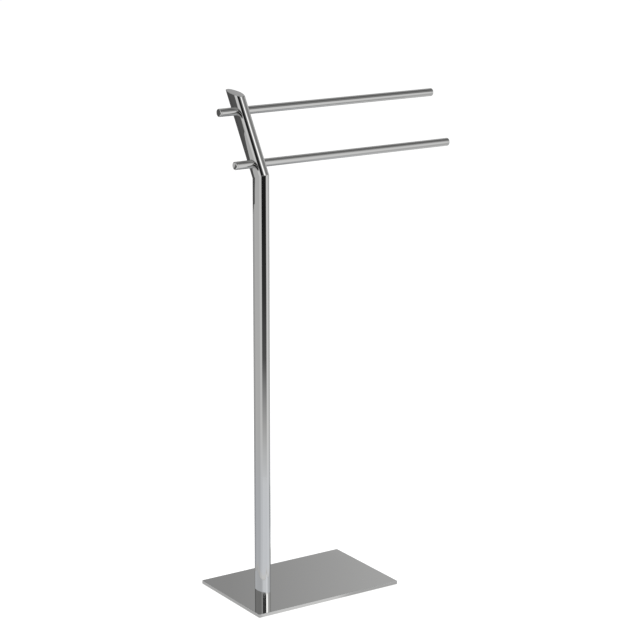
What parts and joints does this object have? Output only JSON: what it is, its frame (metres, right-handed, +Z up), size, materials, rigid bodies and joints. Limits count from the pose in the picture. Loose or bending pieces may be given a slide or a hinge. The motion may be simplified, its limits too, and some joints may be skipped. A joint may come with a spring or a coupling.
{
  "type": "freestanding towel stand",
  "caption": "Freestanding towel stand: flat weighted base plate, oval post with a mitred head that leans back, and straight round towel bars through the head.",
  "frame": {"origin": "point on the floor straight below the axis of the post, on the underside of the non-slip sheet", "axes": "+X along the towel bars, from their short stubs towards their long arms; +Y to the back, where the head leans; +Z up"},
  "size_m": [0.4825, 0.2099, 0.9096],
  "materials": {
    "mirror_chrome": "polished chrome plate on steel",
    "zinc_steel": "zinc plated, turned and milled",
    "screw_steel": "black oxide",
    "non_slip_rubber": "matt foam rubber sheet"
  },
  "bodies": {
    "root": {"base_plate": "mirror_chrome", "post_tube": "mirror_chrome", "head_tube": "mirror_chrome", "head_cap": "mirror_chrome", "lower_bar": "mirror_chrome", "upper_bar": "mirror_chrome", "lower_bar_left_cap": "mirror_chrome", "lower_bar_right_cap": "mirror_chrome", "upper_bar_left_cap": "mirror_chrome", "upper_bar_right_cap": "mirror_chrome", "post_foot_block": "zinc_steel", "lower_bar_block": "zinc_steel", "upper_bar_block": "zinc_steel", "base_screws": "screw_steel", "bar_grub_screws": "screw_steel", "base_mat": "non_slip_rubber"}
  },
  "joints": []
}
